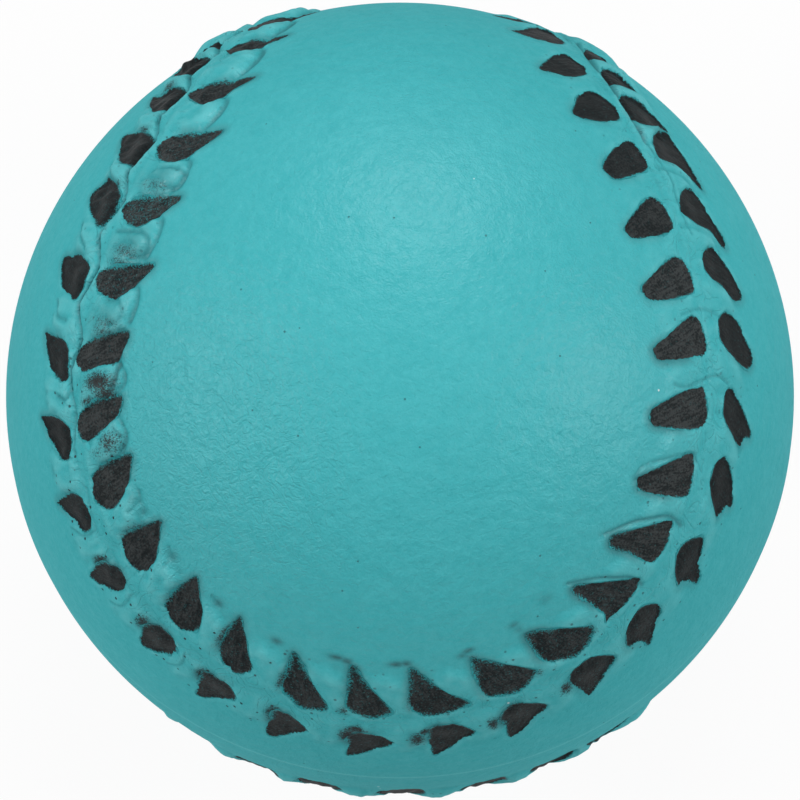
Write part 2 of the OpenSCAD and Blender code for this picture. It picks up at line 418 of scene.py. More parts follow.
# How far off the seam a lobe reaches, and how its end slopes, in degrees. A stitch that reaches
# further than a long one pushes its lobe out with it.
LOBE_REACH = 8.9
LONG_STITCH = 12
LOBE_BOW = 1.6
LOBE_ENDS = {INNER: 2, OUTER: 3.4}
LOBE_TOE = 0.7
LEAST_LOBE = 1.5
END_MARGIN = 0.6
# The flat band beside the seam, as a share of the lobe's height, and where it ends
BAND_SHARE = 0.55
BAND_EDGE = 2.2
LOBE_BLUR = 1.6
# These keep a division from nought.
SMALL = 1e-9
TINY = 1e-12


def sides_of(points, off):
    """The lowest and the highest place along the seam of an outline, at distances off the seam."""
    inside = np.clip(off, points[:, 1].min() + END_MARGIN, points[:, 1].max() - 2 * END_MARGIN)
    found = []
    for (along, far), (next_along, next_far) in zip(points, np.roll(points, -1, axis=0)):
        share = (inside - far) / (next_far - far + SMALL)
        hit = (share >= 0) & (share <= 1)
        found.append(np.where(hit, along + share * (next_along - along), np.nan))
    return np.nanmin(found, axis=0), np.nanmax(found, axis=0)


def lobes_of(row, off):
    """The height that the mould gives a row at each place along the seam and distance off it."""
    sides = [sides_of(corners[row, number], off) for number in numbers]
    crests = np.array([low for low, _ in sides])
    dips = np.array([high for _, high in sides])
    heights = np.interp(numbers, HEIGHT_NUMBERS, np.array(HEIGHTS[row]) * MM)
    spread = np.array([max(0, corners[row, number][:, 1].max() - LONG_STITCH) for number in numbers])
    grooves = np.interp(numbers, GROOVE_NUMBERS, GROOVES) * (row == INNER)
    layer = np.zeros((len(off), len(map_along)))
    for line, distance in enumerate(off):
        ends = np.concatenate([dips[-2:, line] - SEAM_LENGTH, dips[:, line],
                               dips[:2, line] + SEAM_LENGTH])
        after = np.searchsorted(ends, map_along)
        start = ends[after - 1]
        end = ends[after]
        stitch = (after - 2) % STITCHES
        lap = (after - 2) // STITCHES * SEAM_LENGTH
        edge = np.clip(crests[stitch, line] + lap, start + LEAST_LOBE, end - LEAST_LOBE)
        crest = start + CREST_SHARE * (edge - start)
        valley = edge + VALLEY_IN
        rising = 1 - (1 - VALLEY_SHARE) * (1 - np.clip((map_along - start) / (crest - start), 0, 1))**2
        falling = 1 - (1 - VALLEY_SHARE) * smooth_step(crest, valley, map_along)
        across = np.clip((map_along - valley) / (end - valley), 0, 1)
        face = (FACE_SHARE - VALLEY_SHARE) * 4 * across * (1 - across)
        profile = np.where(map_along < crest, rising, falling + face)
        middle = (start + edge) / 2
        aside = np.clip((map_along - middle) / (edge - middle), -GROOVE_ASIDE[1], GROOVE_ASIDE[1])
        top = LOBE_REACH + spread[stitch] - LOBE_BOW * aside**2
        far = 1 - smooth_step(top - LOBE_ENDS[row], top + LOBE_TOE, distance)
        band = smooth_step(0, BAND_EDGE, distance - spread[stitch])
        shape = (BAND_SHARE * (1 - band) + band * profile) * far
        on_lobe = 1 - smooth_step(*GROOVE_ASIDE, np.abs(aside))
        groove = np.exp(-((distance - top - GROOVE_OUT) / GROOVE_WIDTH)**2) * on_lobe
        layer[line] = heights[stitch] * (shape - grooves[stitch] * groove)
    return layer


inner_rows = map_off >= 0
relief = np.zeros((len(map_off), len(map_along)))
relief[inner_rows] = lobes_of(INNER, map_off[inner_rows])
relief[~inner_rows] = lobes_of(OUTER, -map_off[~inner_rows])
relief = blurred(relief, LOBE_BLUR)

# How the paint lies at the edge of each stitch, and how deep the hollow under it is.
# A soft side has a direction, in degrees along and off the seam, and a width.
SOFT_SIDES = {
    INNER: [(-12, -7, (-1, 0), 0.45), (-6, -2, (-1, 0.3), 0.5), (-1, 3, (-0.4, 1), 0.8),
            (-1, 3, (0.5, -1), 0.45), (3, 5, (-0.7, 0.7), 0.5)],
    OUTER: [(-12, -9, (0.3, -1), 0.4), (-8, -5, (-0.5, -1), 0.16), (-4, 2, (-0.8, -0.8), 0.5)]}
CRISP = 0.07
LOAD_NUMBERS = (-11, -10, -9, -8, -7, -4, -2, 4, 6)
PAINT_LOADS = {INNER: (0.87, 0.82, 0.74, 0.8, 0.87, 0.87, 0.82, 0.82, 0.87),
               OUTER: (0.87, 0.87, 0.84, 0.87, 0.87, 0.86, 0.84, 0.84, 0.87)}
# A soft shade on the skin beside a stitch: its width, and its side and amount by stitch
HALO = 0.8
HALO_SIDES = {INNER: [(-12, 2, (-1, 0.6), 0.35), (3, 8, (-1, 0.8), 0.5), (9, 14, (-1, 0.8), 0.25)],
              OUTER: [(-12, -5, (-1, 0.6), 0.3), (-4, 2, (-0.8, -0.8), 0.5), (3, 14, (-1, 0), 0.3)]}
HALO_TURN = (0, 0.8)
# Under a crisp edge the paint on the skin itself ends this far inside, in millimetres.
HIDE_UNDER = 0.22
SOFT_TURN = (0.2, 0.9)
SOFT_FULL = 0.2
SKIN_FADE = 0.6
FILM_FADE = 0.9
HOLLOW_DEPTH = 0.15 * MM
HOLLOW_SLOPE = (-0.1, 0.3)
# The skin rises a little round each hollow.
RIM_HEIGHT = 0.05 * MM
RIM_OUT = 0.22
RIM_WIDTH = 0.16
# How far round a stitch its paint and its hollow are worked out, in degrees
WINDOW = 10
MM_A_DEGREE = BALL_R / MM * math.radians(1)

hollow = np.zeros_like(relief)
rim = np.zeros_like(relief)
skin_paint = np.zeros_like(relief)
skin_shade = np.zeros_like(relief)
film_paint = np.zeros_like(relief)


def from_curve(curve, steps, along, off):
    """How far each place is from a curve with these steps from point to point, in degrees."""
    least = np.full(along.shape, np.inf)
    for (u, v), (du, dv) in zip(curve, steps):
        share = np.clip(((along - u) * du + (off - v) * dv) / (du * du + dv * dv + TINY), 0, 1)
        least = np.minimum(least, np.hypot(along - u - share * du, off - v - share * dv))
    return least


def inside_distance(curve, along, off):
    """How far inside a closed curve each place is, in millimetres, and less than 0 outside."""
    steps = np.roll(curve, -1, axis=0) - curve
    least = from_curve(curve, steps, along, off)
    crossings = np.zeros(along.shape, int)
    for (u, v), (du, dv) in zip(curve, steps):
        crossings += ((v > off) != (v + dv > off)) & (along < u + (off - v) / (dv + TINY) * du)
    return np.where(crossings % 2 == 1, least, -least) * MM_A_DEGREE


def turned_to(side, way, turn):
    """How much each way from the middle of a stitch is turned to a side, from 0 to 1."""
    return smooth_step(*turn, (way[0] * side[0] + way[1] * side[1]) / math.hypot(*side))


def raise_to(layer, spot, values):
    layer[spot] = np.maximum(layer[spot], values)


for (row, number), points in corners.items():
    centre = points.mean(axis=0)
    first_column = int((centre[0] - WINDOW - SEAM_START) / MAP_STEP)
    columns = np.arange(first_column, first_column + int(2 * WINDOW / MAP_STEP))
    along = SEAM_START + columns * MAP_STEP
    in_row = np.nonzero(np.abs(map_off * row - centre[1]) < WINDOW)[0]
    off = map_off[in_row] * row
    along, off = np.meshgrid(along, off)
    depth = inside_distance(rounded(points, STRETCH), along, off)
    way = np.stack([along - centre[0], off - centre[1]])
    way /= np.hypot(*way) + SMALL
    soft = np.full(along.shape, CRISP)
    for first, last, side, width in SOFT_SIDES[row]:
        if first <= number <= last:
            soft = np.maximum(soft, CRISP + (width - CRISP) * turned_to(side, way, SOFT_TURN))
    load = np.interp(number, LOAD_NUMBERS, PAINT_LOADS[row])
    under = HIDE_UNDER * (1 - smooth_step(CRISP, SOFT_FULL, soft))
    spot = np.ix_(in_row, columns % len(map_along))
    raise_to(skin_paint, spot, load * smooth_step(-SKIN_FADE * soft, soft, depth - under))
    raise_to(film_paint, spot, load * smooth_step(-FILM_FADE * soft, soft, depth))
    raise_to(hollow, spot, smooth_step(*HOLLOW_SLOPE, depth))
    raise_to(rim, spot, np.exp(-((depth + RIM_OUT) / RIM_WIDTH)**2))
    for first, last, side, amount in HALO_SIDES[row]:
        if first <= number <= last:
            halo = amount * turned_to(side, way, HALO_TURN) * smooth_step(-HALO, 0, depth)
            raise_to(skin_shade, spot, halo)

# Paint that went astray as a grain; and soft dark smudges, partly stray paint and partly painted shade in
# small hollows by the stitches' tips and between the lobes: the place along the seam and off it, half the
# length and the width, and the amount
STRAY_PAINT = [
    (-96.6, 5.4, 1.3, 3.2, 0.42), (-87, 5, 1.4, 3.2, 0.46), (-85.4, 4.6, 1, 3, 0.52),
    (-77, 5, 1.3, 3, 0.42), (-76, 4.6, 1, 2.6, 0.5), (-69, 5, 1.6, 3.4, 0.85),
    (-67.2, 6, 1.6, 2.2, 0.7), (-66, 3, 1.2, 2, 0.6), (-60.3, 6.5, 2.2, 2.6, 0.6), (-59, 4, 1, 2, 0.45),
    (-47, 6, 1, 3, 0.5), (-35, 6, 1, 3, 0.5), (-26, 6.4, 0.9, 3, 0.6), (-15.4, 4, 0.8, 2.4, 0.6),
    (-14.6, 8.8, 0.8, 1, 0.55), (-6, 1.2, 1.2, 1.4, 0.55), (-5, 9.4, 1, 1, 0.5),
    (3.4, 4, 0.8, 2.4, 0.5), (4.2, 9.2, 0.9, 1, 0.5), (11, 1.4, 1, 0.8, 0.5),
    (13.8, 9.6, 1, 1, 0.5), (22, 2.6, 0.8, 1.2, 0.5), (31.6, 3.8, 0.8, 1.6, 0.55),
    (-15, -3.4, 1.2, 1.6, 0.8), (-14.8, -4.8, 0.9, 1.6, 0.7), (-5.2, -4.4, 1.2, 2, 0.85),
    (-4.2, -3, 1.6, 1, 0.8), (3.8, -4.6, 1, 2, 0.8), (4.8, -3.2, 1, 1, 0.75),
    (13.6, -4, 0.9, 1.8, 0.75), (24, -3.4, 1, 1.5, 0.75), (-25.4, -3.4, 0.9, 1.8, 0.75),
    (-35.6, -3.4, 1, 2.2, 0.75), (-45, -3.6, 0.9, 2.2, 0.75), (-106.6, -4, 1, 2, 0.6),
    (-117, -5, 1.2, 2, 0.6), (-96.8, -3, 1, 1.6, 0.6)]
SMUDGES_AND_SHADE = [
    (-97.6, 5.8, 2.4, 3.4, 0.3), (-87.8, 5.4, 2.4, 3.4, 0.34), (-77.8, 5, 2.2, 3.2, 0.28),
    (-51.4, 8.4, 1.4, 1, 0.3), (-48.8, 8.8, 0.8, 1, 0.42), (-40.3, 9.6, 1, 0.9, 0.52),
    (-29.6, 10.2, 1, 0.8, 0.62), (-18.3, 10.2, 1.1, 0.6, 0.7), (-8.2, 10.9, 1.4, 0.5, 0.85),
    (-6.4, 10.6, 1, 0.5, 0.85), (1.6, 10.7, 1.4, 0.5, 0.85), (3.2, 10.8, 1, 0.5, 0.85),
    (12.4, 10.6, 1, 0.5, 0.6), (13.6, 11.2, 1, 0.4, 0.8), (22.2, 12.3, 1, 0.5, 0.55),
    (22.6, 11.2, 0.8, 0.5, 0.4), (29.4, 13, 1.2, 0.7, 0.3), (-15.6, -4.6, 0.5, 2.4, 0.4),
    (-5.6, -5, 0.6, 2.4, 0.4), (3, -5, 0.5, 2.4, 0.35), (-90.5, 6, 0.4, 2, 0.3),
    (-80, 5, 0.4, 2, 0.3)]


def add_spots(layer, spots):
    for along, off, half_along, half_off, amount in spots:
        reach_along = (map_along[None, :] - along) / half_along
        reach_off = (map_off[:, None] - off) / half_off
        np.maximum(layer, amount * np.exp(-reach_along**2 - reach_off**2), out=layer)


add_spots(skin_paint, STRAY_PAINT)
# The smudges go into the skin's layer of painted shade.
add_spots(skin_shade, SMUDGES_AND_SHADE)

# Creases that the skin folded into as it was moulded: their line, half their width in degrees,
# their depth in millimetres and how much shade is painted into them
FOLDS = [
    ([(-99.3, 5), (-99.5, 7.5), (-98.7, 9.2), (-97, 9), (-96.6, 7)], 0.4, 0.16, 0.4),
    ([(-97.5, 6.5), (-97.9, 4.5), (-97.2, 2.5)], 0.3, 0.12, 0.25),
    ([(-89.8, 1.8), (-90, 6), (-89.3, 7.9), (-87.8, 8.3), (-86.6, 7.4), (-86.3, 6)], 0.4, 0.2, 0.45),
    ([(-88, 6.8), (-88.4, 4.5), (-87.6, 2.5)], 0.3, 0.12, 0.3),
    ([(-80.3, 4), (-80.2, 6.3), (-79, 7.4), (-77.5, 7), (-76.9, 5.6)], 0.4, 0.18, 0.35),
    ([(-71.6, 7.9), (-69.4, 7.9), (-67.4, 6.9), (-66, 5), (-64.6, 1.8)], 0.4, 0.22, 0.7),
    ([(-62, 7.5), (-60.3, 8.7), (-58.6, 8)], 0.4, 0.14, 0.3),
    ([(-52.2, 9.3), (-50.4, 8.6), (-49.6, 7)], 0.25, 0.1, 0.3),
    ([(-42, 10), (-40.4, 9.2), (-39.8, 7.8)], 0.25, 0.1, 0.3),
    ([(-31.4, 10.4), (-29.4, 9.8)], 0.25, 0.1, 0.3),
    ([(33.9, 12.5), (36.6, 10.5), (39.2, 7.6), (40.9, 4.8), (40.9, 2.2)], 0.32, 0.12, 0.5),
    ([(44.7, 12.8), (48.1, 9.9), (50.2, 6.8), (51.3, 3.7), (50.6, 1)], 0.32, 0.12, 0.5),
    ([(54.9, 11.7), (57.4, 11.1), (59.3, 7.5), (60.6, 3), (59.7, 1.7)], 0.3, 0.1, 0.3),
    ([(70.2, 7), (69.8, 4.9), (70.7, 1.5), (71.2, -1.5), (70.2, -3.8)], 0.22, 0.1, 0.3),
    ([(79.7, 4.1), (80.3, 0.4), (79.4, -3.2)], 0.2, 0.08, 0.25),
    ([(90.8, -2), (95.5, -2), (100.6, -2.2), (105.9, -1.2)], 0.22, 0.1, 0.3),
    ([(105.9, -1.2), (111, -1), (118.8, -0.7), (124, -0.4), (132, -0.8)], 0.35, 0.3, 0.6),
    ([(92.2, -0.8), (91.8, -3.3), (90.6, -6.8), (88.5, -8.6)], 0.5, 0.12, 0.15),
    ([(101.4, -0.8), (101, -2.6), (100.1, -5.8), (98.1, -8.8)], 0.45, 0.14, 0.2),
    ([(109.8, -0.8), (109.3, -2.6), (108.4, -5.6)], 0.4, 0.12, 0.2),
    ([(-67.6, -1.4), (-66.4, -2.2), (-66.9, -4)], 0.35, 0.16, 0.4),
    ([(-58.6, -2), (-58.9, -5), (-60.2, -8)], 0.2, 0.08, 0.25),
    ([(-48.8, -1.5), (-48.6, -4.5), (-50, -8)], 0.2, 0.09, 0.3),
    ([(-39, -1.6), (-38.6, -4.5), (-39.8, -7.5)], 0.2, 0.09, 0.3),
    ([(-28.8, -1.5), (-28.2, -4), (-29.6, -7.5)], 0.2, 0.08, 0.3),
    ([(-96.8, -3), (-98.5, -5.5), (-101.5, -8.5)], 0.4, 0.2, 0.3),
    ([(-87, -4), (-88.4, -6), (-91, -9)], 0.4, 0.2, 0.3),
    ([(-76.8, -4), (-77.4, -6.5), (-79.4, -9)], 0.4, 0.18, 0.3)]
FOLD_MARGIN = 1

for points, half_width, depth, darkness in FOLDS:
    curve = rounded(points, STRETCH, "edge")
    near = map_along > curve[:, 0].min() - FOLD_MARGIN
    near &= map_along < curve[:, 0].max() + FOLD_MARGIN
    columns = np.nonzero(near)[0]
    along, off = np.meshgrid(map_along[columns], map_off)
    fold = np.exp(-(from_curve(curve, np.diff(curve, axis=0), along, off) / half_width)**2)
    relief[:, columns] -= depth * MM * fold
    raise_to(skin_shade, np.s_[:, columns], darkness * fold)

# The lobes are uneven: small folds run across the outer row, and lumps lie on the inner one.
UNEVEN_NUMBERS = (-16, -5, -1, 4, 16, 18, 49)
FOLD_HEIGHTS = np.array([0.05, 0.05, 0.03, 0.012, 0.015, 0.03, 0.03]) * MM
LUMP_HEIGHTS = np.array([0.04, 0.05, 0.03, 0.012, 0.012, 0.03, 0.03]) * MM
# How wide they are in steps of the map, and where they begin and end in degrees off the seam
FOLD_SPREADS = (9, 2.5)
FOLD_BAND = (-9, -1)
LUMP_SPREADS = (4, 3)
LUMP_BAND = (2, 9)
UNEVEN_FADE = 1
lumpy = np.random.default_rng(11)


def number_at(along):
    """The number of the stitch at each place along the seam, with a share of the pitch."""
    return along / PITCH - FIRST_SHARE + 1


def lumps(spreads, heights, low, high):
    """Seeded unevenness between two distances off the seam, as high as these numbers say."""
    layer = blurred(lumpy.normal(0, 1, relief.shape), *spreads)
    layer *= np.interp(number_at(map_along), UNEVEN_NUMBERS, heights) / layer.std()
    edge = smooth_step(low - UNEVEN_FADE, low + UNEVEN_FADE, map_off)
    edge *= smooth_step(-high - UNEVEN_FADE, -high + UNEVEN_FADE, -map_off)
    return layer * edge[:, None]


relief += lumps(FOLD_SPREADS, FOLD_HEIGHTS, *FOLD_BAND) + lumps(LUMP_SPREADS, LUMP_HEIGHTS, *LUMP_BAND)

# The crease where the two panels of the cover meet: it swings to and fro once for each stitch.
CREASE_NUMBERS = (-16, -12, -7, -5.5, 0, 6, 10, 14, 49)
CREASE_DEPTHS = np.array([0.36, 0.46, 0.46, 0.08, 0.01, 0.02, 0.03, 0.06, 0.15]) * MM
CREASE_SWINGS = (1, 1.8, 1.8, 1, 0.5, 0.5, 0.6, 0.6, 0.8)
CREASE_OFF = -0.3
CREASE_LEAD = 0.15
CREASE_LOW = 0.5
CREASE_FADE = 0.5
FADE_END = 0.8
CREASE_WIDTH = 0.28
# The shallow bed round the crease, as a share of its depth, and its width
CREASE_BED = 0.5
BED_WIDTH = 0.9
HOLLOW_BLUR = 1.1

numbers_along = number_at(map_along)
phase = (numbers_along + CREASE_LEAD) % 1
swing = smooth_step(0, CREASE_LOW, phase) - smooth_step(CREASE_LOW, 1, phase)
crease_off = CREASE_OFF - np.interp(numbers_along, CREASE_NUMBERS, CREASE_SWINGS) * swing
crease_depth = np.interp(numbers_along, CREASE_NUMBERS, CREASE_DEPTHS)
crease_depth = crease_depth * (1 - CREASE_FADE * smooth_step(CREASE_LOW, FADE_END, phase))
crease = np.exp(-((map_off[:, None] - crease_off) / CREASE_WIDTH)**2)
bed = np.exp(-((map_off[:, None] - crease_off) / BED_WIDTH)**2)
relief += blurred(RIM_HEIGHT * rim - HOLLOW_DEPTH * hollow, HOLLOW_BLUR)
relief -= (crease + CREASE_BED * bed) * crease_depth
# Shade is painted into the skin's colour along the crease: the deeper, the darker.
skin_shade = np.maximum(skin_shade, crease * crease_depth / CREASE_DEPTHS.max())

# The low places of the relief get painted shade, and its high places are painted paler, partly as wear and
# partly as a painted highlight.
LIFT_REACH = 8
LOW_PLACE_SHADE_DEPTH = 0.2 * MM
LOW_PLACE_SHADE_MOST = 0.45
WEAR_AND_HIGHLIGHT_HEIGHT = 0.14 * MM

lift = relief - blurred(relief, LIFT_REACH)
skin_shade = np.maximum(skin_shade, LOW_PLACE_SHADE_MOST * smooth_step(0, LOW_PLACE_SHADE_DEPTH, -lift))
wear_and_highlight = smooth_step(0, WEAR_AND_HIGHLIGHT_HEIGHT, lift)

# The mesh is a ball of small triangles, finer in the band along the seam, finer still where the
# relief bends and along the parting line, and cut where the halves of the mould part.
BALL_LEVEL = 7
BAND_HALF = 13
PARTING_HALF = 0.014
FINE_EDGES = 46000
INNER_RINGS = 8
# Points nearer to each other than this are one, and points this near the parting lie in it.
NEARLY = 1e-5
LEVEL = 1e-7


def bends(layer):
    """How sharply a layer bends at each place."""
    along = np.roll(layer, 2, axis=1) + np.roll(layer, -2, axis=1) - 2 * layer
    across = np.roll(layer, 2, axis=0) + np.roll(layer, -2, axis=0) - 2 * layer
    return blurred(np.abs(along) + np.abs(across), 1)


def corners_of(ball):
    return unit(np.array([vert.co for vert in ball.verts]))


def ball_triangles():
    """Directions and triangles of the whole ball's surface, with an edge all round at the parting."""
    ball = bmesh.new()
    bmesh.ops.create_icosphere(ball, subdivisions=BALL_LEVEL, radius=1)
    bmesh.ops.bisect_plane(ball, geom=ball.verts[:] + ball.edges[:] + ball.faces[:],
                           plane_co=(0, 0, 0), plane_no=(0, 0, 1), dist=NEARLY)
    bent = bends(relief)
    for finest in (False, True):
        directions = corners_of(ball)
        along, off = beside_seam(directions)
        edges = ball.edges[:]
        ends = np.array([(edge.verts[0].index, edge.verts[1].index) for edge in edges])
        if finest:
            sharp = read(bent, along, off) * (np.abs(off) < BAND_HALF)
            sharp[np.abs(directions[:, 2]) < PARTING_HALF] = 1
            rank = sharp[ends].max(axis=1)
            chosen = rank >= np.sort(rank)[-FINE_EDGES]
        else:
            near = np.abs(off) < BAND_HALF
            near |= np.abs(directions[:, 2]) < PARTING_HALF
            chosen = near[ends].any(axis=1)
        bmesh.ops.subdivide_edges(ball, edges=[edge for edge, take in zip(edges, chosen) if take],
                                  cuts=1, use_grid_fill=True)
        bmesh.ops.triangulate(ball, faces=ball.faces[:])
        ball.verts.index_update()
    triangles = np.array([[vert.index for vert in face.verts] for face in ball.faces])
    directions = corners_of(ball)
    ball.free()
    return directions, triangles


def half_shell(directions, heights, triangles, half):
    """Places and faces of one half of the skin, closed with a flat rim and an inner face."""
    own = triangles[directions[triangles][:, :, 2].sum(axis=1) * half > 0]
    used = np.unique(own)
    order = np.full(len(directions), -1)
    order[used] = np.arange(len(used))
    places = directions[used] * (BALL_R + heights[used])[:, None]
    level = np.nonzero(np.abs(places[:, 2]) < LEVEL)[0]
    level = level[np.argsort(np.arctan2(places[level, 1], places[level, 0]))]
    places[level, 2] = 0
    around = unit(places[level] * [1, 1, 0])
    faces = [tuple(face) for face in order[own]]
    rings = [level]
    parts = [places]
    count = len(places)
    for ring in range(INNER_RINGS):
        rise = math.pi / 2 * ring / INNER_RINGS
        flat = around * math.cos(rise)
        flat[:, 2] = math.sin(rise) * half
        parts.append(flat * CORE_R)
        rings.append(np.arange(count, count + len(level)))
        count += len(level)
    parts.append(np.array([[0, 0, CORE_R * half]]))
    for outer, inner in zip(rings, rings[1:]):
        for a, b, c, d in zip(outer, np.roll(outer, -1), np.roll(inner, -1), inner):
            faces.append((a, b, c, d)[::half])
    for a, b in zip(rings[-1], np.roll(rings[-1], -1)):
        faces.append((a, b, count)[::half])
    return np.concatenate(parts), faces, used


def make_piece(name, places, faces, values, material, sharp_angle=60):
    """A mesh object from its places and faces, with an attribute for each named list of values."""
    mesh = bpy.data.meshes.new(name)
    mesh.from_pydata([tuple(place) for place in places], [], faces)
    for attribute, given in values.items():
        kind, part = ("FLOAT", "value") if given.ndim == 1 else ("FLOAT_VECTOR", "vector")
        layer = mesh.attributes.new(attribute, kind, "POINT")
        layer.data.foreach_set(part, given.astype(np.float32).ravel())
    mesh.shade_smooth()
    mesh.set_sharp_from_angle(angle=math.radians(sharp_angle))
    mesh.materials.append(material)
    piece = bpy.data.objects.new(name, mesh)
    bpy.context.scene.collection.objects.link(piece)
    return piece


# The finish of the skin: teal, matt, with faint wrinkles, pores and specks, stray paint, painted shade in
# its low places and creases, and a painted highlight on its high places
TEAL = (0.057, 0.43, 0.466, 1)
TEAL_LIGHT = (0.065, 0.46, 0.496, 1)
TEAL_DEEP = (0.03, 0.37, 0.405, 1)
TEAL_WORN_AND_LIT = (0.13, 0.52, 0.55, 1)
PORE_SHADE = (0.008, 0.035, 0.04, 1)
SPECK_WHITE = (0.62, 0.78, 0.78, 1)
# A dark tint for stray and thin paint, and for painted shade.
DARK_PAINT_AND_SHADE = (0.01, 0.03, 0.034, 1)
PAINT_BLACK = (0.007, 0.01, 0.011, 1)
# Grey of thin paint, which also serves as a painted highlight on the paint.
PAINT_GREY_AND_SHEEN = (0.046, 0.052, 0.053, 1)
GRAIN_SIZE = 0.08 * MM
CLUMP_SIZE = 0.25 * MM
GRAIN_SHARE = 0.7
GRAIN_EDGE = 0.4
PATCH_SIZE = 1.2 * MM
SPECKLE_SIZE = 0.16 * MM
# Sizes of the changes of tone, and of the wrinkles and the other unevenness
SLOW_SIZE = 9 * MM
FINE_SIZE = 0.6 * MM
MOTTLE_SIZE = 2.2 * MM
PILE_SIZE = 0.13 * MM
WRINKLE_SIZE = 0.45 * MM
SKIN_GRAIN = 0.14 * MM
PEEL_SIZE = 1.3 * MM
FOLD_SIZE = 1.8 * MM
SHEEN_SIZE = 0.5 * MM
SKIN_DEPTH = 0.1 * MM
# Small spots: how far apart they are, how wide, how rare, and a shift that keeps each kind apart
PORES = (1.1 * MM, 0.1 * MM, 0.9, 0.1)
SEAM_PORES = (0.6 * MM, 0.14 * MM, 0.78, 0.2)
SPECKS = (3.4 * MM, 0.12 * MM, 0.88, 0.3)


def paint_share(finish, amount):
    """How much of the paint shows at a place: the amount there, broken up by a fine grain."""
    clumps = finish.ease(finish.noise(CLUMP_SIZE, detail=3), 0.25, 0.75)
    bare = finish.chance(GRAIN_SIZE) * GRAIN_SHARE + clumps * (1 - GRAIN_SHARE)
    shown = amount * (1 + 2 * GRAIN_EDGE) - GRAIN_EDGE - bare
    return finish.ease(shown, -GRAIN_EDGE, GRAIN_EDGE)


def paint_colour(finish, streak):
    """Black paint, greyer where the brush left it thin and in streaks that are partly a painted highlight,
    with a fine grain.
    """
    patch = finish.noise(PATCH_SIZE, detail=3)
    thin = streak * 0.75 + patch * 0.55 + finish.noise(SPECKLE_SIZE, detail=3)
    grey_and_sheen = finish.ease(thin, 0.95, 1.4) * 0.7 + 0.13
    return finish.mix(grey_and_sheen * finish.value_of("thinness"), PAINT_BLACK, PAINT_GREY_AND_SHEEN)


def skin_colour(finish):
    """Teal foam skin, with slow and fine changes of tone."""
    fine = finish.patches(FINE_SIZE, detail=5, distortion=0.4)
    mottle = finish.patches(MOTTLE_SIZE, detail=3)
    tone = finish.mix(finish.patches(SLOW_SIZE) * 0.4 + 0.1, TEAL, TEAL_LIGHT)
    return finish.mix(fine * 0.35 + mottle * 0.18 + finish.patches(PILE_SIZE) * 0.3, tone, TEAL_DEEP)


def spots(finish, spacing, width, rareness, shift):
    """Small round spots, of which only the rarest cells keep one."""
    moved = finish.add("VectorMath", {"operation": "ADD"}, {0: finish.place(), 1: (shift, shift, 0)})
    near = finish.cells(spacing, vector=moved)
    round_spot = 1 - finish.ease(near, width / spacing * 0.6, width / spacing)
    return round_spot * (finish.chance(spacing, moved) > rareness)


def skin_finish():
    finish = Finish("foam_skin")
    cover = finish.value_of("paint")
    worn = finish.value_of("worn")
    seam_pores = spots(finish, *SEAM_PORES) * finish.value_of("pitted")
    pores = finish.maths("MAXIMUM", spots(finish, *PORES) * 0.55, seam_pores)
    # Paler on the parting line and on the high places, the latter partly wear and partly a painted
    # highlight.
    foam = finish.mix(finish.value_of("wear_and_highlight") * 0.5, skin_colour(finish), TEAL_WORN_AND_LIT)
    foam = finish.mix(pores, foam, PORE_SHADE)
    foam = finish.mix(spots(finish, *SPECKS), foam, SPECK_WHITE)
    # A mist of paint lies round the painted places, and painted shade lies in the low ones, in the creases
    # and beside the stitches.
    foam = finish.mix(finish.ease(cover, 0.02, 0.8) * 0.3, foam, DARK_PAINT_AND_SHADE)
    foam = finish.mix(finish.maths("MINIMUM", finish.value_of("shade"), 1), foam, DARK_PAINT_AND_SHADE)
    wrinkles = finish.noise(WRINKLE_SIZE, detail=4, distortion=1.2)
    folds = finish.maths("ABSOLUTE", finish.noise(FOLD_SIZE, detail=1.5, distortion=1.5) - 0.5)
    creased = finish.maths("MAXIMUM", finish.ease(finish.value_of("seam_zone"), 0.5, 1), worn)
    creases = (1 - finish.ease(folds, 0, 0.05)) * creased
    height = (wrinkles * (0.65 + worn * 1.2) + finish.noise(SKIN_GRAIN) * (0.2 + worn * 0.12)
              + finish.noise(PEEL_SIZE, detail=3) * 1.7 - pores * 0.8 - creases * 0.4)
    # The sheen of the skin is dull where it is seen along the surface.
    aslant = finish.ease(finish.add("LayerWeight", {}, {}, "Facing"), 0.15, 0.6)
    return finish.surface(
        Base_Color=finish.mix(paint_share(finish, cover), foam, PAINT_BLACK),
        Roughness=0.35 + (finish.noise(SHEEN_SIZE) - 0.5) * 0.14 + aslant * 0.55,
        Specular_IOR_Level=0.27,
        Normal=finish.bump(height, SKIN_DEPTH))


skin_material = skin_finish()
# Pinholes lie close together in the lobes at some stitches, and are rare elsewhere.
PITTED_NUMBERS = (-16, -8, -5.5, -2, 0, 3, 5, 7, 49)
PITTED = (0.2, 0.3, 1, 1, 0.5, 0.6, 0.6, 0.3, 0.3)
PITTED_EDGE = (8, 10.5)
SEAM_ZONE = (1, 12)
# The skin is more wrinkled round these directions, by this much
WORN_PLACES = [((-0.5, -0.46, 0.74), 0.55), ((0.3, 0.5, 0.8), 0.2), ((0.9, 0.1, -0.4), 0.4),
               ((-0.3, 0.7, -0.6), 0.45)]
WORN_EDGE = (0.84, 0.99)

directions, triangles = ball_triangles()
along, off = beside_seam(directions)
far_off = np.abs(off)
parting = np.exp(-(directions[:, 2] * BALL_R / PARTING_WIDTH)**2)


def over_ball(layer):
    """A layer of the map at each corner of the ball's mesh, and 0 outside the map."""
    return np.where(far_off < MAP_REACH, read(layer, along, off), 0)


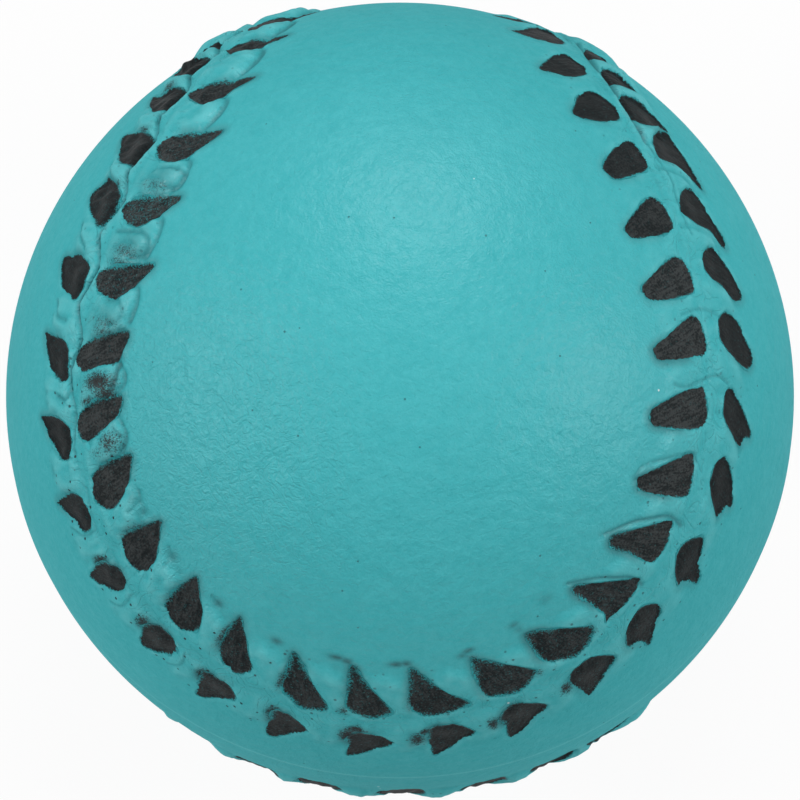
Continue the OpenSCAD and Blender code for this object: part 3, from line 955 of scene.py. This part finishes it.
pitted = np.interp(number_at(along), PITTED_NUMBERS, PITTED) * (1 - smooth_step(*PITTED_EDGE, far_off))
heights = over_ball(relief) + PARTING_HEIGHT * parting
layers = {"paint": over_ball(skin_paint),
          "shade": over_ball(skin_shade),
          "wear_and_highlight": np.maximum(over_ball(wear_and_highlight), PARTING_WEAR * parting),
          "pitted": pitted,
          "seam_zone": 1 - smooth_step(*SEAM_ZONE, far_off),
          "worn": sum(amount * smooth_step(*WORN_EDGE, directions @ unit(np.array(way)))
                      for way, amount in WORN_PLACES)}

for half, name in ((UPPER, "upper_skin"), (LOWER, "lower_skin")):
    places, faces, used = half_shell(directions, heights, triangles, half)
    plain = np.zeros(len(places) - len(used))
    values = {kind: np.concatenate([layer[used], plain]) for kind, layer in layers.items()}
    skin = make_piece(name + "_moulded", places, faces, values, skin_material)
    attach(skin, "root")
    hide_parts(name)


# Painted stitches
# Each moulded hollow is filled in by hand with thin black paint, one film for each stitch.
# The films of one row on one half of the ball are one piece, and they lie on the skin.

FILM_EDGE = 0.04 * MM
FILM_MIDDLE = 0.075 * MM
FILM_SUNK = 0.06 * MM
FILM_EASE = 0.5
FILM_GRID = 0.32
FILM_SHARP = 50
# How uneven the brush left the edge, slowly and from point to point
RAGGED_STRETCH = 14
RAGGED_REACH = 3
RAGGED = 0.14
SLOW_RAGGED = 0.7
FAST_RAGGED = 0.45
# The brush ran along each stitch, so its streaks are much longer than they are wide.
STROKE_WAY = np.array([-0.35, 0.94])
STROKE_SHARE = 0.15
# How much of the grey shows through the black: partly a thinner coat at some stitches, partly the painted
# sheen of the paint
COAT_NUMBERS = (-12, -10, -6, -3, 4, 6, 9, 10, 12, 14)
THINNESS_AND_SHEEN = {INNER: (0.9, 1.3, 1.3, 1, 1.1, 1.7, 1.4, 0.9, 0.3, 0),
            OUTER: (0.4, 0.4, 0.3, 0.8, 0.7, 0.4, 0.4, 0.4, 0.4, 0.2)}
ragged = np.random.default_rng(7)


def film_outline(points):
    """The outline of a stitch with the small unevenness of a brush."""
    curve = rounded(points, RAGGED_STRETCH)
    step = np.roll(curve, -1, axis=0) - np.roll(curve, 1, axis=0)
    outward = unit(np.stack([step[:, 1], -step[:, 0]], axis=-1))
    fast = ragged.normal(0, 1, len(curve))
    slow = sum(np.roll(fast, shift) for shift in range(-RAGGED_REACH, RAGGED_REACH + 1))
    slow = slow / math.sqrt(2 * RAGGED_REACH + 1)
    return curve + outward * (RAGGED * (SLOW_RAGGED * slow + FAST_RAGGED * fast))[:, None]


def film(row, number):
    """Places, faces and named values of one stitch's film."""
    outline = film_outline(corners[row, number])
    low = outline.min(axis=0)
    high = outline.max(axis=0)
    grid = np.stack(np.meshgrid(np.arange(low[0], high[0], FILM_GRID),
                                np.arange(low[1], high[1], FILM_GRID)), axis=-1).reshape(-1, 2)
    grid = grid[inside_distance(outline, grid[:, 0], grid[:, 1]) > FILM_GRID / 3 * MM_A_DEGREE]
    flat = [Vector(place) for place in np.concatenate([outline, grid])]
    made = delaunay_2d_cdt(flat, [], [list(range(len(outline)))], 1, NEARLY)
    points = np.array([tuple(place) for place in made[0]])
    top = [tuple(face) for face in made[2]]
    depth = np.abs(inside_distance(outline, points[:, 0], points[:, 1]))
    off = points[:, 1] * row
    height = read(relief, points[:, 0], off)
    rise = FILM_EDGE + (FILM_MIDDLE - FILM_EDGE) * smooth_step(0, FILM_EASE, depth)
    direction = on_ball(points[:, 0], off)
    upper = direction * (BALL_R + height + rise)[:, None]
    under = direction * (BALL_R + height - FILM_SUNK)[:, None]
    count = len(points)
    edges = dict.fromkeys(edge for face in top for edge in zip(face, face[1:] + face[:1]))
    faces = top + [tuple(corner + count for corner in face[::-1]) for face in top]
    faces += [(b, a, a + count, b + count) for a, b in edges if (b, a) not in edges]
    if row == OUTER:
        faces = [face[::-1] for face in faces]
    place = (points - outline.mean(axis=0)) * MM_A_DEGREE * MM
    lengthwise = place @ STROKE_WAY
    crosswise = place @ [STROKE_WAY[1], -STROKE_WAY[0]]
    strokes = np.stack([crosswise, lengthwise * STROKE_SHARE, np.full(count, number * MM)], axis=-1)
    values = {"paint": np.tile(read(film_paint, points[:, 0], off), 2),
              "stroke": np.tile(strokes, (2, 1)),
              "thinness": np.full(2 * count, np.interp(number, COAT_NUMBERS, THINNESS_AND_SHEEN[row]))}
    return np.concatenate([upper, under]), faces, values


STREAK_SIZE = 0.22 * MM
PAINT_GRAIN = 0.2 * MM
STREAK_DEPTH = 0.06 * MM


def film_finish():
    finish = Finish("stitch_paint")
    painted = paint_share(finish, finish.value_of("paint"))
    strokes = finish.add("Attribute", {"attribute_name": "stroke"}, {}, "Vector")
    streak = finish.noise(STREAK_SIZE, detail=4, distortion=0.6, vector=strokes)
    thin = finish.mix(0.25, skin_colour(finish), DARK_PAINT_AND_SHADE)
    return finish.surface(
        Base_Color=finish.mix(painted, thin, paint_colour(finish, streak)),
        Roughness=0.5 + (streak - 0.5) * 0.3,
        Specular_IOR_Level=0.03,
        Normal=finish.bump(streak + finish.noise(PAINT_GRAIN) * 0.35, STREAK_DEPTH))


film_material = film_finish()
for half_name, first in (("upper", FIRST_STITCH), ("lower", FIRST_STITCH + STITCHES // 2)):
    for row, row_name in ((INNER, "inner"), (OUTER, "outer")):
        parts = [film(row, number) for number in range(first, first + STITCHES // 2)]
        all_places, all_faces, all_values = zip(*parts)
        starts = np.cumsum([0] + [len(places) for places in all_places])
        faces = [tuple(int(corner + start) for corner in face)
                 for start, own_faces in zip(starts, all_faces) for face in own_faces]
        values = {kind: np.concatenate([own[kind] for own in all_values]) for kind in all_values[0]}
        node = f"{half_name}_{row_name}_stitches"
        films = make_piece(node + "_painted", np.concatenate(all_places), faces, values,
                           film_material, FILM_SHARP)
        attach(films, "root")
        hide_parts(node)


# Studio
# A pale floor under the ball, soft lamps above, in front and at both sides of it, and an even
# surrounding. The floor and the surrounding look plain white to the camera and in reflections.

PHOTO_SIDE = 800
BALL_CENTRE_ROW = 396.5
BALL_PIXELS = 394
CAMERA_DISTANCE = 8.5 * BALL_R
SENSOR = 36
TOWARDS_CAMERA = Vector((0.0239, -0.361, 0.9321))
IMAGE_UP = Vector((-0.0195, 0.932, 0.3619))

camera_data = bpy.data.cameras.new("camera")
outline_tangent = math.tan(math.asin(BALL_R / CAMERA_DISTANCE))
camera_data.sensor_width = SENSOR
camera_data.lens = SENSOR * BALL_PIXELS / PHOTO_SIDE / outline_tangent
camera_data.shift_y = (BALL_CENTRE_ROW - PHOTO_SIDE / 2) / PHOTO_SIDE
camera_data.clip_start = BALL_R
camera_data.clip_end = 40 * BALL_R
camera = bpy.data.objects.new("camera", camera_data)
bpy.context.scene.collection.objects.link(camera)
backward = TOWARDS_CAMERA.normalized()
rightward = IMAGE_UP.cross(backward).normalized()
upward = backward.cross(rightward)
turned = Matrix((rightward, upward, backward)).transposed().to_4x4()
camera.matrix_world = Matrix.Translation(backward * CAMERA_DISTANCE) @ turned
bpy.context.scene.camera = camera

# Each lamp's way from the ball as the camera sees it: right, up and towards the camera. Then its
# width in radii of the ball, and its power in watts.
LAMP_DISTANCE = 12 * BALL_R
LAMPS = {"top_lamp": (0.06, 0.78, 0.6, 6, 0.69), "front_lamp": (0, -0.15, 1, 14, 0.36),
         "left_lamp": (-0.79, 0.06, 0.6, 3.5, 0.54), "right_lamp": (0.79, 0.05, 0.6, 4, 0.47)}
for name, (right, up, towards, width, watts) in LAMPS.items():
    lamp_data = bpy.data.lights.new(name, "AREA")
    lamp_data.size = width * BALL_R
    lamp_data.energy = watts
    lamp = bpy.data.objects.new(name, lamp_data)
    bpy.context.scene.collection.objects.link(lamp)
    way = (rightward * right + upward * up + backward * towards).normalized()
    lamp.location = way * LAMP_DISTANCE
    lamp.rotation_euler = way.to_track_quat("Z", "Y").to_euler()

world = bpy.data.worlds.new("surrounding")
bpy.context.scene.world = world
SURROUND = 0.16


def seen_directly(finish):
    """1 for what the camera sees, also in a reflection or through something clear."""
    path = {name: finish.add("LightPath", {}, {}, name)
            for name in ("Is Camera Ray", "Is Glossy Ray", "Is Transmission Ray")}
    first = finish.maths("MAXIMUM", path["Is Camera Ray"], path["Is Glossy Ray"])
    return finish.maths("MAXIMUM", first, path["Is Transmission Ray"])


surround_finish = Finish("surrounding", world)
strength = SURROUND + seen_directly(surround_finish) * (1 - SURROUND)
background = surround_finish.add("Background", {}, {"Color": (1, 1, 1, 1), "Strength": strength})
surround_finish.add("OutputWorld", {}, {"Surface": background})

FLOOR_HALF = 30 * BALL_R
FLOOR_SHADOW = 0.06
floor_finish = Finish("pale_floor")
matt = floor_finish.add("BsdfDiffuse", {}, {"Color": (0.8, 0.8, 0.8, 1)})
glow = floor_finish.add("Emission", {}, {"Color": (1, 1, 1, 1), "Strength": 1})
lit_floor = floor_finish.add("MixShader", {}, {
    "Fac": seen_directly(floor_finish) * (1 - FLOOR_SHADOW), 1: matt, 2: glow})
floor_finish.add("OutputMaterial", {}, {"Surface": lit_floor})
floor_places = [(x * FLOOR_HALF, y * FLOOR_HALF, -BALL_R) for x, y in ((-1, -1), (1, -1), (1, 1), (-1, 1))]
floor = make_piece("floor", floor_places, [(0, 1, 2, 3)], {}, floor_finish.material)

bpy.context.scene.view_settings.view_transform = "Standard"
